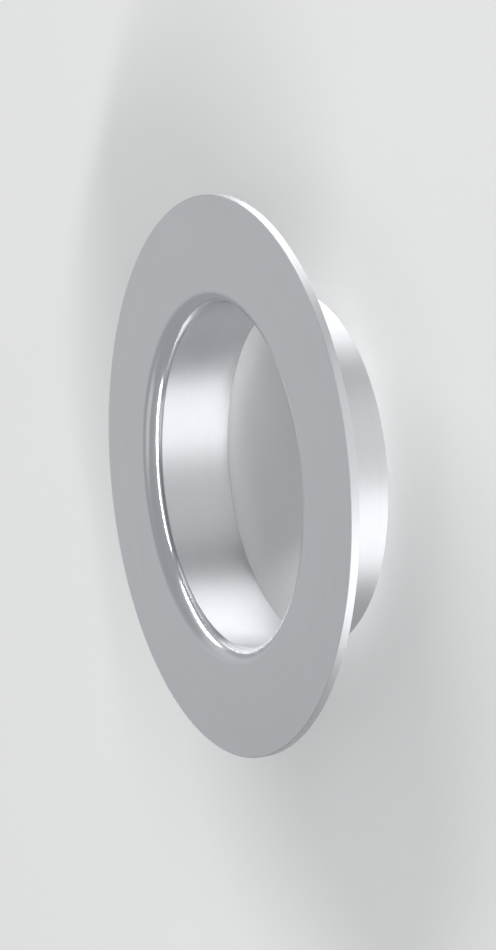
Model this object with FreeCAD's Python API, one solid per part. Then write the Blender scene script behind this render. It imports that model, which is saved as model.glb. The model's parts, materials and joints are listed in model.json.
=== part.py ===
"""Pressed lap joint stub end, also called a pressed collar, in stainless steel.

It is one piece: a ring of sheet drawn into a thin flat flange and a short straight neck, with
an even bend between them. The gasket lies on the flange's front face, a loose backing flange
bears on its back face, and the pipe is butt-welded to the square end of the neck.

The neck stands on its weld end. The origin is the centre of that end, +Z runs along the bore
towards the gasket face, and every length is in millimetres.
"""

import FreeCAD
import Part

import math
import os

# Driving sizes
FLANGE_DIAMETER = 138.0  # outside of the flange, the size of the sealing face
NECK_DIAMETER = 88.9  # outside of the neck, the same as the pipe's
SHEET_THICKNESS = 2.0  # wall of the neck, the bend and the flange alike
BEND_RADIUS = 2.0  # inside of the bend, between the neck and the flange's back face
LENGTH = 23.0  # from the weld end to the gasket face
EDGE_BREAK = 0.2  # chamfer that takes the burr off the trimmed edges

# Radii from the axis, and heights above the weld end, that follow from them
FLANGE_RADIUS = FLANGE_DIAMETER / 2
NECK_RADIUS = NECK_DIAMETER / 2
BORE_RADIUS = NECK_RADIUS - SHEET_THICKNESS
BEND_CENTRE_RADIUS = NECK_RADIUS + BEND_RADIUS
WELD_END_Z = 0.0
GASKET_FACE_Z = WELD_END_Z + LENGTH
BACK_FACE_Z = GASKET_FACE_Z - SHEET_THICKNESS
BEND_CENTRE_Z = BACK_FACE_Z - BEND_RADIUS

ORIGIN = FreeCAD.Vector(0, 0, 0)
AXIS = FreeCAD.Vector(0, 0, 1)
FULL_TURN = 360.0  # degrees
MATCH = 1e-6  # how closely an edge's radius and height have to agree with a size


def at(radius, height):
    """A point of the section, which lies in the half plane y = 0 beside the axis."""
    return FreeCAD.Vector(radius, 0, height)


def line(start, end):
    """A straight edge of the section."""
    return Part.LineSegment(start, end).toShape()


def bend(start, end, radius):
    """A quarter arc of the section about the bend's centre, through the arc's own middle."""
    reach = radius * math.sqrt(0.5)
    middle = at(BEND_CENTRE_RADIUS - reach, BEND_CENTRE_Z + reach)
    return Part.Arc(start, middle, end).toShape()


def sheet_section():
    """The section of the drawn sheet: the neck's limb, the bend and the flange's limb.

    The two arcs of the bend share one centre, so the sheet keeps its thickness round it.
    """
    bore_foot = at(BORE_RADIUS, WELD_END_Z)
    neck_foot = at(NECK_RADIUS, WELD_END_Z)
    neck_bend = at(NECK_RADIUS, BEND_CENTRE_Z)
    back_bend = at(BEND_CENTRE_RADIUS, BACK_FACE_Z)
    back_rim = at(FLANGE_RADIUS, BACK_FACE_Z)
    gasket_rim = at(FLANGE_RADIUS, GASKET_FACE_Z)
    gasket_bend = at(BEND_CENTRE_RADIUS, GASKET_FACE_Z)
    bore_bend = at(BORE_RADIUS, BEND_CENTRE_Z)
    outline = [
        line(bore_foot, neck_foot),
        line(neck_foot, neck_bend),
        bend(neck_bend, back_bend, BEND_RADIUS),
        line(back_bend, back_rim),
        line(back_rim, gasket_rim),
        line(gasket_rim, gasket_bend),
        bend(gasket_bend, bore_bend, BEND_RADIUS + SHEET_THICKNESS),
        line(bore_bend, bore_foot),
    ]
    return Part.Face(Part.Wire(outline))


def is_circle(edge, radius, height):
    """Whether an edge is a circle of that radius about the axis, at that height."""
    if not isinstance(edge.Curve, Part.Circle):
        return False
    same_radius = abs(edge.Curve.Radius - radius) < MATCH
    same_height = abs(edge.Curve.Center.z - height) < MATCH
    return same_radius and same_height


def trimmed_edges(solid):
    """The circles that trimming leaves sharp: two round the flange's rim, two round the weld end."""
    trimmed = (
        (FLANGE_RADIUS, GASKET_FACE_Z),
        (FLANGE_RADIUS, BACK_FACE_Z),
        (NECK_RADIUS, WELD_END_Z),
        (BORE_RADIUS, WELD_END_Z),
    )
    return [
        edge
        for edge in solid.Edges
        if any(is_circle(edge, radius, height) for radius, height in trimmed)
    ]


def stub_end():
    """The whole fitting: the section turned about the axis, with its trimmed edges broken."""
    drawn = sheet_section().revolve(ORIGIN, AXIS, FULL_TURN)
    return drawn.makeChamfer(EDGE_BREAK, trimmed_edges(drawn))


def main():
    os.makedirs("parts", exist_ok=True)
    stub_end().exportStep("parts/stub_end.step")


main()
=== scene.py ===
"""A lap joint stub end in satin stainless steel, standing on its weld end on a pale floor.

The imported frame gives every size. The skin is one closed surface of revolution: the section of
the drawn sheet, with its bend and its broken edges as arcs, is carried once round the axis. The
steel is satin: the flange is pickled sheet, the bend is smoothed by the press, and the neck and
the trimmed edges are brushed round the axis.
"""

import json
import math

import bpy
import numpy as np
from mathutils import Matrix, Vector


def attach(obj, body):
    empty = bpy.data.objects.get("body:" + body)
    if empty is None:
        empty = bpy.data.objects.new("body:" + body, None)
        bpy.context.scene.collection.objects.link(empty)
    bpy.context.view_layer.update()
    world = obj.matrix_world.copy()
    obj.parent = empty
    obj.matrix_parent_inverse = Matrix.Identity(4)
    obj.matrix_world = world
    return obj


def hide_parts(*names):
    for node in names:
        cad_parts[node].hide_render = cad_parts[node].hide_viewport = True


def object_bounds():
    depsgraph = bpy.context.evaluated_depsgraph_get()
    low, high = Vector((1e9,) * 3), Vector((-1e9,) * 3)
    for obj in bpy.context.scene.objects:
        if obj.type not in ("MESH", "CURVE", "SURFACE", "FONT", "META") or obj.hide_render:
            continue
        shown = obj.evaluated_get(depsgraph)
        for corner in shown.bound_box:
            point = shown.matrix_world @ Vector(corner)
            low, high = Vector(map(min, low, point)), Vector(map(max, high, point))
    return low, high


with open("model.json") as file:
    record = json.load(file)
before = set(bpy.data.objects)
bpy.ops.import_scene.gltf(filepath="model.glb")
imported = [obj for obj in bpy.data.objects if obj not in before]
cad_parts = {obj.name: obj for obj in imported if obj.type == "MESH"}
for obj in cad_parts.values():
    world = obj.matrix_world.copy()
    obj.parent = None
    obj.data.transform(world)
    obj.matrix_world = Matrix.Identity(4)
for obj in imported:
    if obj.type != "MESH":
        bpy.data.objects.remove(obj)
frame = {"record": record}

bl_info = {
    "name": "Lap joint stub end",
    "version": (1, 0, 0),
    "blender": (4, 5, 0),
    "location": "View3D > Sidebar > Stub End",
    "description": "Adds a lap joint stub end in satin stainless steel and a stage to show it on",
    "category": "Add Mesh",
}

NODE = "stub_end"
PIECE = "pressed_collar"
MM = 0.001

CAD_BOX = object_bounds()


def mount(name):
    """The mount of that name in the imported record."""
    return next(m for m in frame["record"]["mounts"] if m["name"] == name)


def round_mount(name):
    """Radius, lowest height and highest height of an upright round mount, in metres."""
    dims = mount(name)["dims"]
    middle = mount(name)["pos_m"][2]
    half = dims["length_mm"] * MM / 2
    return dims["r_mm"] * MM, middle - half, middle + half


# The neck's straight run starts where its broken edge ends, and ends where the bend starts
NECK_RADIUS, EDGE_ROUND, BEND_HEIGHT = round_mount("neck")
BORE_RADIUS = round_mount("bore")[0]
FLANGE_RADIUS = CAD_BOX[1].x
FACE_HEIGHT = mount("gasket_face")["pos_m"][2]
BACK_HEIGHT = mount("flange_back")["pos_m"][2]
STEEL_COLOUR = frame["record"]["materials"][0]["base_color"]

# Zones of the skin, in the order of its materials
FACE, BEND, WALL, TRIMMED = range(4)

# Directions in the section, as radius and height
OUTWARDS = (1, 0)
INWARDS = (-1, 0)
UPWARDS = (0, 1)
DOWNWARDS = (0, -1)

# From a grid point to the four corners of its face, as rows and columns further on
CORNERS = np.array([(0, 0), (0, 1), (1, 1), (1, 0)])

# Sizes of the cloudy patterns
WISP_SIZE = 4 * MM
CLOUD_SIZE = 18 * MM
MOTTLE_SIZE = 60 * MM

# A turning band is this many turning lines wide
BAND_LINES = 5

# Radius of the circle through the noise that a turning line, or a band, takes once round the axis
LINE_WANDER = 1.5
BAND_WANDER = 0.8

# How far each pattern moves the steel's roughness and its brightness, up and down
ROUGHNESS_SWING = {"clouds": 0.03, "wisps": 0.012, "bands": 0.015, "lines": 0.02}
BRIGHTNESS_SWING = {"clouds": 0.035, "bands": 0.02, "lines": 0.03, "grain": 0.02}

# Share of a full turn that leads from round the axis to along the section
ALONG_SECTION = 0.25

FLOOR_SIDES = 64
FLOOR_ROUGHNESS = 0.9
FLOOR_SPECULAR = 0.2
FLOOR_SWING = 0.01

# Azimuth from +X and elevation in degrees, distance, and width and height of each lamp
LAMPS = {
    "near_tube": ((226, 16), 5.4, (5.0, 0.2)),
    "side_tube": ((14, 20), 5.4, (6.0, 0.2)),
    "front_tube": ((278, 17), 5.4, (7.8, 0.2)),
    "back_panel": ((75, 26), 7.2, (6.0, 2.7)),
    "top_panel": ((155, 72), 6.0, (3.0, 3.0)),
}
SENSOR_WIDTH = 36.0  # millimetres


def length(name, description, default):
    """A length in metres that a user can change."""
    return bpy.props.FloatProperty(
        name=name, description=description, default=default, min=0.0, unit="LENGTH", precision=4
    )


def share(name, description, default):
    """A plain number from 0 to 1 that a user can change."""
    return bpy.props.FloatProperty(
        name=name, description=description, default=default, min=0.0, max=1.0, subtype="FACTOR"
    )


def colour(name, description, default):
    """A colour that a user can change."""
    return bpy.props.FloatVectorProperty(
        name=name, description=description, default=default, min=0.0, max=1.0, subtype="COLOR"
    )


def turn(name, description, degrees):
    """An angle that a user can change."""
    return bpy.props.FloatProperty(
        name=name, description=description, default=math.radians(degrees), unit="ROTATION"
    )


def power(name, description, watts):
    """A lamp's power that a user can change."""
    return bpy.props.FloatProperty(
        name=name, description=description, default=watts, min=0.0, unit="POWER"
    )


def steps(name, description, default):
    """A number of divisions that a user can change."""
    return bpy.props.IntProperty(
        name=name, description=description, default=default, min=1, soft_max=720
    )


class CollarSizes(bpy.types.PropertyGroup):
    """Sizes of the drawn sheet, and how finely its surface is divided."""

    flange_radius: length("Flange radius", "Axis to the flange's rim", FLANGE_RADIUS)
    neck_radius: length("Neck radius", "Axis to the outside of the neck", NECK_RADIUS)
    bore_radius: length("Bore radius", "Axis to the inside of the neck", BORE_RADIUS)
    face_height: length("Face height", "Weld end to the gasket face", FACE_HEIGHT)
    back_height: length("Back height", "Weld end to the flange's back face", BACK_HEIGHT)
    bend_height: length("Bend height", "Weld end to where the bend starts", BEND_HEIGHT)
    edge_round: length("Edge round", "Radius on the trimmed edges", EDGE_ROUND)
    turn_steps: steps("Turn steps", "Divisions once round the axis", 480)
    flat_steps: steps("Flat steps", "Divisions of each straight run of the section", 8)
    bend_steps: steps("Bend steps", "Divisions round each side of the bend", 28)
    edge_steps: steps("Edge steps", "Divisions round each trimmed edge", 5)


class SteelFinish(bpy.types.PropertyGroup):
    """Colour and surface of the steel."""

    steel_colour: colour("Steel", "Colour that the steel reflects", STEEL_COLOUR)
    face_roughness: share("Face roughness", "How far the flange spreads a reflection", 0.36)
    throat_roughness: share("Throat roughness", "How far the bend's inner end spreads it", 0.12)
    bend_relief: share("Bend relief", "How much of the relief the press leaves on the bend", 0.3)
    wall_roughness: share("Wall roughness", "How far the neck spreads a reflection", 0.60)
    wall_brushing: share("Wall brushing", "How much more brushing spreads it one way", 0.88)
    edge_roughness: share("Edge roughness", "How far the trimmed edges spread it", 0.60)
    turning_pitch: length("Turning pitch", "Distance between turning lines", 0.9 * MM)
    turning_depth: length("Turning depth", "Depth of the turning lines", 0.0012 * MM)
    grain_size: length("Grain size", "Size of the pickled grain", 0.35 * MM)
    grain_depth: length("Grain depth", "Depth of the pickled grain", 0.0005 * MM)


class StageSettings(bpy.types.PropertyGroup):
    """Floor, lamps and camera."""

    floor_colour: colour("Floor", "Colour of the floor", (0.80, 0.80, 0.79))
    floor_radius: length("Floor radius", "Axis to the floor's edge", 12.0)
    world_colour: colour("World", "Light from all round", (0.395, 0.402, 0.416))
    near_tube_power: power("Near tube", "Long tube lamp on the camera's side", 226.0)
    side_tube_power: power("Side tube", "Long tube lamp above the top of the picture", 226.0)
    front_tube_power: power("Front tube", "Long tube lamp beside the camera", 132.0)
    back_panel_power: power("Back panel", "Wide soft lamp that the gasket face mirrors", 12.3)
    top_panel_power: power("Top panel", "Soft lamp overhead", 8.0)
    camera_lift: turn("Camera lift", "Camera above the floor, seen from the part", 25.49)
    camera_roll: turn("Camera roll", "Turn of the camera about its own line of sight", -95.44)
    camera_distance: length("Camera distance", "Camera to the gasket face, along its sight", 0.61196)
    camera_side: length("Camera side", "Shift of the camera to its own right", 0.007335)
    camera_rise: length("Camera rise", "Shift of the camera upwards, in its own picture", 0.000557)
    camera_lens: bpy.props.FloatProperty(
        name="Lens", description="Focal length", default=94.59, min=1.0, unit="CAMERA"
    )


def straight(start, end, normal, count):
    """A straight run of the section, without its last point.

    Point number i is start + (end - start) * i / count. Its outward normal is the same all along.
    """
    share_done = np.arange(count)[:, None] / count
    points = np.array(start) + (np.array(end) - np.array(start)) * share_done
    return points, np.tile(np.array(normal, float), (count, 1))


def arc(centre, radius, start, end, count, outward=1.0):
    """An arc of the section, from angle start to angle end in degrees, without its last point.

    A point is centre + radius * (cos t, sin t). Its normal is (cos t, sin t), and points at the
    centre instead where the air is on that side, which outward = -1 says.
    """
    angle = np.radians(start + (end - start) * np.arange(count) / count)
    spoke = np.stack([np.cos(angle), np.sin(angle)], axis=1)
    return np.array(centre) + radius * spoke, outward * spoke


def bend_centre_radius(sizes):
    """Axis to the bend's centre: the neck's radius and the radius inside the bend."""
    return sizes.neck_radius + sizes.back_height - sizes.bend_height


def collar_section(sizes):
    """Points, outward normals and zones of the drawn sheet's section, as radius and height.

    The run starts at the weld end's bore edge and goes up the bore, over the bend, out along the
    gasket face, round the rim, in along the back face, round the inside of the bend and down the
    neck. Both sides of the bend are arcs about one centre, so the sheet keeps its thickness.
    """
    edge = sizes.edge_round
    bore, neck, flange = sizes.bore_radius, sizes.neck_radius, sizes.flange_radius
    face, back, start = sizes.face_height, sizes.back_height, sizes.bend_height
    flat, bend, broken = sizes.flat_steps, sizes.bend_steps, sizes.edge_steps
    centre = (bend_centre_radius(sizes), start)
    runs = [
        (WALL, straight((bore, edge), (bore, start), INWARDS, flat)),
        (BEND, arc(centre, face - start, 180, 90, bend)),
        (FACE, straight((centre[0], face), (flange - edge, face), UPWARDS, flat)),
        (TRIMMED, arc((flange - edge, face - edge), edge, 90, 0, broken)),
        (TRIMMED, straight((flange, face - edge), (flange, back + edge), OUTWARDS, flat)),
        (TRIMMED, arc((flange - edge, back + edge), edge, 0, -90, broken)),
        (FACE, straight((flange - edge, back), (centre[0], back), DOWNWARDS, flat)),
        (BEND, arc(centre, back - start, 90, 180, bend, outward=-1.0)),
        (WALL, straight((neck, start), (neck, edge), OUTWARDS, flat)),
        (TRIMMED, arc((neck - edge, edge), edge, 0, -90, broken)),
        (TRIMMED, straight((neck - edge, 0), (bore + edge, 0), DOWNWARDS, flat)),
        (TRIMMED, arc((bore + edge, edge), edge, -90, -180, broken)),
    ]
    points = np.concatenate([run[0] for _, run in runs])
    normals = np.concatenate([run[1] for _, run in runs])
    zones = np.concatenate([np.full(len(run[0]), zone) for zone, run in runs])
    return points, normals, zones


def turned(section, angles):
    """The section carried round the axis, as one row of points for each angle.

    A point of radius r and height h stands at (r cos a, r sin a, h) for the angle a.
    """
    cosine = np.cos(angles)[:, None]
    sine = np.sin(angles)[:, None]
    height = np.broadcast_to(section[:, 1], (len(angles), len(section)))
    return np.stack([section[:, 0] * cosine, section[:, 0] * sine, height], axis=-1)


def full_turn(count):
    """That many angles, evenly spaced once round the axis from +X."""
    return np.arange(count) * 2 * np.pi / count


def face_corners(rows, columns):
    """Row and column of each corner of each four-sided face of a grid, counted round the face.

    Face (i, j) has the points (i, j), (i, j + 1), (i + 1, j + 1) and (i + 1, j).
    """
    i, j = np.meshgrid(np.arange(rows), np.arange(columns), indexing="ij")
    return i[..., None] + CORNERS[:, 0], j[..., None] + CORNERS[:, 1]


def ring_faces(rows, columns):
    """Point numbers of the faces of a grid that is closed both ways, four to a face."""
    row, column = face_corners(rows, columns)
    return ((row % rows) * columns + column % columns).reshape(-1, 4)


def ring_uv(rows, columns, along):
    """Map coordinates of each face corner: the share of the turn, and of the section's length."""
    row, column = face_corners(rows, columns)
    return np.stack([row / rows, along[column]], axis=-1).reshape(-1, 2)


def new_mesh(name, points, faces):
    """A mesh of points and faces, where each row of faces is one face's point numbers."""
    mesh = bpy.data.meshes.new(name)
    mesh.vertices.add(len(points))
    mesh.vertices.foreach_set("co", points.astype(np.float32).ravel())
    mesh.loops.add(faces.size)
    mesh.loops.foreach_set("vertex_index", faces.astype(np.int32).ravel())
    mesh.polygons.add(len(faces))
    starts = np.arange(0, faces.size, faces.shape[1], dtype=np.int32)
    mesh.polygons.foreach_set("loop_start", starts)
    mesh.update(calc_edges=True)
    return mesh


def collar_mesh(sizes):
    """The skin's mesh, smooth and with its true normals, and the length of its section.

    It is the section turned about the axis.
    """
    section, section_normals, zones = collar_section(sizes)
    rows, columns = sizes.turn_steps, len(section)
    angles = full_turn(rows)
    points = turned(section, angles).reshape(-1, 3)
    normals = turned(section_normals, angles).reshape(-1, 3)

    step = np.linalg.norm(np.roll(section, -1, axis=0) - section, axis=1)
    along = np.concatenate([[0.0], np.cumsum(step)])

    mesh = new_mesh(PIECE, points, ring_faces(rows, columns))
    mesh.polygons.foreach_set("material_index", np.tile(zones, rows).astype(np.int32))
    uv = mesh.uv_layers.new(name="section")
    uv.data.foreach_set("uv", ring_uv(rows, columns, along / along[-1]).astype(np.float32).ravel())
    mesh.shade_smooth()
    mesh.normals_split_custom_set_from_vertices(normals)
    if mesh.validate():
        raise RuntimeError("the collar's mesh had faults")
    return mesh, along[-1]


def floor_mesh(radius):
    """A flat disc on the ground, as one face of many sides.

    Corner number k stands at (radius cos a, radius sin a, 0), with a its share of a full turn.
    """
    edge = np.array([(radius, 0.0)])
    points = turned(edge, full_turn(FLOOR_SIDES)).reshape(-1, 3)
    return new_mesh("floor", points, np.arange(FLOOR_SIDES).reshape(1, -1))


def wire(tree, socket, value):
    """Feeds a socket: another node's output is linked to it, and a plain value is set on it."""
    if isinstance(value, bpy.types.NodeSocket):
        tree.links.new(value, socket)
    else:
        socket.default_value = value


def add_node(tree, kind, inputs=(), **settings):
    """Adds a node, sets its settings and feeds its inputs, which go by name or by number."""
    node = tree.nodes.new(kind)
    for name, value in settings.items():
        setattr(node, name, value)
    for key, value in dict(inputs).items():
        wire(tree, node.inputs[key], value)
    return node


def multiply(tree, first, second):
    """The product of two values."""
    return add_node(tree, "ShaderNodeMath", {0: first, 1: second}, operation="MULTIPLY").outputs[0]


def total(tree, first, second):
    """The sum of two values."""
    return add_node(tree, "ShaderNodeMath", {0: first, 1: second}, operation="ADD").outputs[0]


def spread(tree, value, low, high):
    """A value from 0 to 1 carried over to the range from low to high."""
    inputs = {"Value": value, "To Min": low, "To Max": high}
    return add_node(tree, "ShaderNodeMapRange", inputs).outputs["Result"]


def swings(tree, level, patterns, table):
    """A level that each pattern of the table moves, up and down by as much as the table says."""
    for name, swing in table.items():
        level = total(tree, spread(tree, patterns[name], -swing, swing), level)
    return level


def noise(tree, vector, scale=1.0, detail=2.0):
    """Soft noise from 0 to 1, whose lumps lie about 1 / scale apart along the vector."""
    inputs = {"Vector": vector, "Scale": scale, "Detail": detail}
    return add_node(tree, "ShaderNodeTexNoise", inputs).outputs["Fac"]


def tinted(tree, base_colour, brightness):
    """A colour made brighter or darker."""
    inputs = {0: tuple(base_colour), "Scale": brightness}
    return add_node(tree, "ShaderNodeVectorMath", inputs, operation="SCALE").outputs[0]


def combine(tree, x, y, z):
    """Three values as a vector."""
    return add_node(tree, "ShaderNodeCombineXYZ", {0: x, 1: y, 2: z}).outputs[0]


def separate(tree, vector):
    """The three values of a vector."""
    return add_node(tree, "ShaderNodeSeparateXYZ", {0: vector}).outputs


def from_axis(tree, place):
    """The vector from the axis straight out to a point."""
    parts = separate(tree, place)
    return combine(tree, parts[0], parts[1], 0.0)


def turning_lines(tree, place, section_length, pitch, wander):
    """Lines that run round the axis, about one every pitch along the section.

    They are noise. One pitch along the section is a step of 1 through it, and once round the
    axis is a circle of radius wander, so a line fades and returns as it goes round.
    """
    share_done = separate(tree, tree.nodes["Section"].outputs["UV"])[1]
    along = multiply(tree, share_done, section_length / pitch)
    inputs = {0: from_axis(tree, place)}
    direction = add_node(tree, "ShaderNodeVectorMath", inputs, operation="NORMALIZE").outputs[0]
    around = [multiply(tree, value, wander) for value in separate(tree, direction)[:2]]
    return noise(tree, combine(tree, along, *around))


def bend_gloss(tree, place, sizes, finish):
    """Roughness that rises outwards over the bend, from its throat to the pickled flange."""
    inputs = {0: from_axis(tree, place)}
    radius = add_node(tree, "ShaderNodeVectorMath", inputs, operation="LENGTH").outputs["Value"]
    inputs = {
        "Value": radius,
        "From Min": sizes.bore_radius,
        "From Max": bend_centre_radius(sizes),
        "To Min": finish.throat_roughness,
        "To Max": finish.face_roughness,
    }
    return add_node(tree, "ShaderNodeMapRange", inputs).outputs["Result"]


def steel_material(name, sizes, finish, section_length, gloss, brushing):
    """Satin stainless steel with faint turning lines and bands, grain and cloudy gloss.

    gloss is its roughness, and brushing makes it spread a reflection further along the section
    than round the axis. On the bend gloss is None: the roughness is graded from the throat to the
    flange there, and the press has taken most of the relief.
    """
    steel = bpy.data.materials.new(name)
    steel.use_nodes = True
    tree = steel.node_tree
    place = add_node(tree, "ShaderNodeTexCoord").outputs["Object"]
    add_node(tree, "ShaderNodeUVMap", name="Section", uv_map="section")

    pitch = finish.turning_pitch
    patterns = {
        "lines": turning_lines(tree, place, section_length, pitch, LINE_WANDER),
        "bands": turning_lines(tree, place, section_length, pitch * BAND_LINES, BAND_WANDER),
        "grain": noise(tree, place, 1 / finish.grain_size, detail=3.0),
        "wisps": noise(tree, place, 1 / WISP_SIZE, detail=4.0),
        "clouds": noise(tree, place, 1 / CLOUD_SIZE, detail=3.0),
    }
    relief = 1.0
    if gloss is None:
        gloss = bend_gloss(tree, place, sizes, finish)
        relief = finish.bend_relief

    line_depth = multiply(tree, patterns["lines"], finish.turning_depth * relief)
    grain_depth = multiply(tree, patterns["grain"], finish.grain_depth * relief)
    depth = total(tree, line_depth, grain_depth)
    bump = add_node(tree, "ShaderNodeBump", {"Strength": 1.0, "Distance": 1.0, "Height": depth})
    brightness = swings(tree, 1.0, patterns, BRIGHTNESS_SWING)

    surface = tree.nodes["Principled BSDF"]
    surface.inputs["Metallic"].default_value = 1.0
    if brushing:
        tangent = add_node(tree, "ShaderNodeTangent", direction_type="UV_MAP", uv_map="section")
        wire(tree, surface.inputs["Tangent"], tangent.outputs[0])
        surface.inputs["Anisotropic"].default_value = brushing
        surface.inputs["Anisotropic Rotation"].default_value = ALONG_SECTION
    wire(tree, surface.inputs["Base Color"], tinted(tree, finish.steel_colour, brightness))
    wire(tree, surface.inputs["Roughness"], swings(tree, gloss, patterns, ROUGHNESS_SWING))
    wire(tree, surface.inputs["Normal"], bump.outputs["Normal"])
    return steel


def floor_material(stage):
    """Matt pale floor with the faintest mottling."""
    floor = bpy.data.materials.new("pale_floor")
    floor.use_nodes = True
    tree = floor.node_tree
    place = add_node(tree, "ShaderNodeTexCoord").outputs["Object"]
    mottling = noise(tree, place, 1 / MOTTLE_SIZE)
    brightness = spread(tree, mottling, 1 - FLOOR_SWING, 1 + FLOOR_SWING)
    surface = tree.nodes["Principled BSDF"]
    surface.inputs["Roughness"].default_value = FLOOR_ROUGHNESS
    surface.inputs["Specular IOR Level"].default_value = FLOOR_SPECULAR
    wire(tree, surface.inputs["Base Color"], tinted(tree, stage.floor_colour, brightness))
    return floor


def add_object(name, data):
    """Links a new object into the scene, at the origin, unturned and unscaled."""
    made = bpy.data.objects.new(name, data)
    bpy.context.scene.collection.objects.link(made)
    return made


def add_lamp(name, direction, distance, size, watts):
    """Hangs a soft lamp, as wide and as high as size says, that looks at the part's middle.

    direction is the lamp's azimuth from +X and its elevation, in degrees.
    """
    azimuth, elevation = (math.radians(value) for value in direction)
    target = Vector((0, 0, FACE_HEIGHT / 2))
    away = Vector(
        (
            math.cos(azimuth) * math.cos(elevation),
            math.sin(azimuth) * math.cos(elevation),
            math.sin(elevation),
        )
    )
    light = bpy.data.lights.new(name, "AREA")
    light.shape = "RECTANGLE"
    light.size, light.size_y = size
    light.energy = watts
    lamp = add_object(name, light)
    lamp.visible_camera = False
    lamp.location = target + away * distance
    lamp.rotation_mode = "QUATERNION"
    lamp.rotation_quaternion = away.to_track_quat("Z", "Y")


def studio_world(stage):
    """Even light from all round."""
    world = bpy.data.worlds.new("studio")
    world.use_nodes = True
    world.node_tree.nodes["Background"].inputs["Color"].default_value = (*stage.world_colour, 1.0)
    return world


def add_camera(stage):
    """Sets up the camera, rolled about its line of sight so that the bore runs across the picture."""
    lift = Matrix.Rotation(math.pi / 2 - stage.camera_lift, 3, "X")
    aim = lift @ Matrix.Rotation(stage.camera_roll, 3, "Z")
    face_centre = Vector((0, 0, FACE_HEIGHT))
    shift = Vector((stage.camera_side, stage.camera_rise, stage.camera_distance))
    data = bpy.data.cameras.new("camera")
    data.lens = stage.camera_lens
    data.sensor_width = SENSOR_WIDTH
    camera = add_object("camera", data)
    camera.location = face_centre + aim @ shift
    camera.rotation_mode = "QUATERNION"
    camera.rotation_quaternion = aim.to_quaternion()
    bpy.context.scene.camera = camera


class STUBEND_OT_add_collar(bpy.types.Operator):
    """Add the stub end's steel skin and put it in the place of its plain solid"""

    bl_idname = "stub_end.add_collar"
    bl_label = "Add Collar"

    def execute(self, context):
        sizes = context.scene.collar_sizes
        finish = context.scene.steel_finish
        mesh, section_length = collar_mesh(sizes)
        for name, gloss, brushing in (
            ("pickled_face", finish.face_roughness, 0.0),
            ("pressed_bend", None, 0.0),
            ("brushed_neck", finish.wall_roughness, finish.wall_brushing),
            ("trimmed_edge", finish.edge_roughness, finish.wall_brushing),
        ):
            steel = steel_material(name, sizes, finish, section_length, gloss, brushing)
            mesh.materials.append(steel)
        collar = add_object(PIECE, mesh)
        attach(collar, "root")
        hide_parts(NODE)
        return {"FINISHED"}


class STUBEND_OT_set_stage(bpy.types.Operator):
    """Lay the floor, hang the lamps and set up the camera"""

    bl_idname = "stub_end.set_stage"
    bl_label = "Set Stage"

    def execute(self, context):
        stage = context.scene.stage_settings
        floor = add_object("floor", floor_mesh(stage.floor_radius))
        floor.data.materials.append(floor_material(stage))
        context.scene.world = studio_world(stage)
        for name, (direction, distance, size) in LAMPS.items():
            add_lamp(name, direction, distance, size, getattr(stage, f"{name}_power"))
        add_camera(stage)
        context.scene.view_settings.view_transform = "Standard"
        return {"FINISHED"}


class STUBEND_PT_sidebar(bpy.types.Panel):
    """Lists the stub end's operators and the sizes and colours that they use"""

    bl_idname = "STUBEND_PT_sidebar"
    bl_label = "Lap Joint Stub End"
    bl_space_type = "VIEW_3D"
    bl_region_type = "UI"
    bl_category = "Stub End"

    def draw(self, context):
        scene = context.scene
        for operator, groups in (
            (STUBEND_OT_add_collar, (scene.collar_sizes, scene.steel_finish)),
            (STUBEND_OT_set_stage, (scene.stage_settings,)),
        ):
            box = self.layout.box()
            for group in groups:
                for name in group.__annotations__:
                    box.prop(group, name)
            box.operator(operator.bl_idname)


CLASSES = (
    CollarSizes,
    SteelFinish,
    StageSettings,
    STUBEND_OT_add_collar,
    STUBEND_OT_set_stage,
    STUBEND_PT_sidebar,
)
GROUPS = {
    "collar_sizes": CollarSizes,
    "steel_finish": SteelFinish,
    "stage_settings": StageSettings,
}


def register():
    """Registers the classes, and gives every scene the three groups of settings."""
    for each in CLASSES:
        bpy.utils.register_class(each)
    for name, group in GROUPS.items():
        setattr(bpy.types.Scene, name, bpy.props.PointerProperty(type=group))


def unregister():
    """Takes back what register does, in the opposite order."""
    for name in GROUPS:
        delattr(bpy.types.Scene, name)
    for each in reversed(CLASSES):
        bpy.utils.unregister_class(each)


def main():
    """Adds the collar and sets the stage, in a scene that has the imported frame."""
    register()
    bpy.ops.stub_end.add_collar()
    bpy.ops.stub_end.set_stage()


if __name__ == "__main__":
    main()
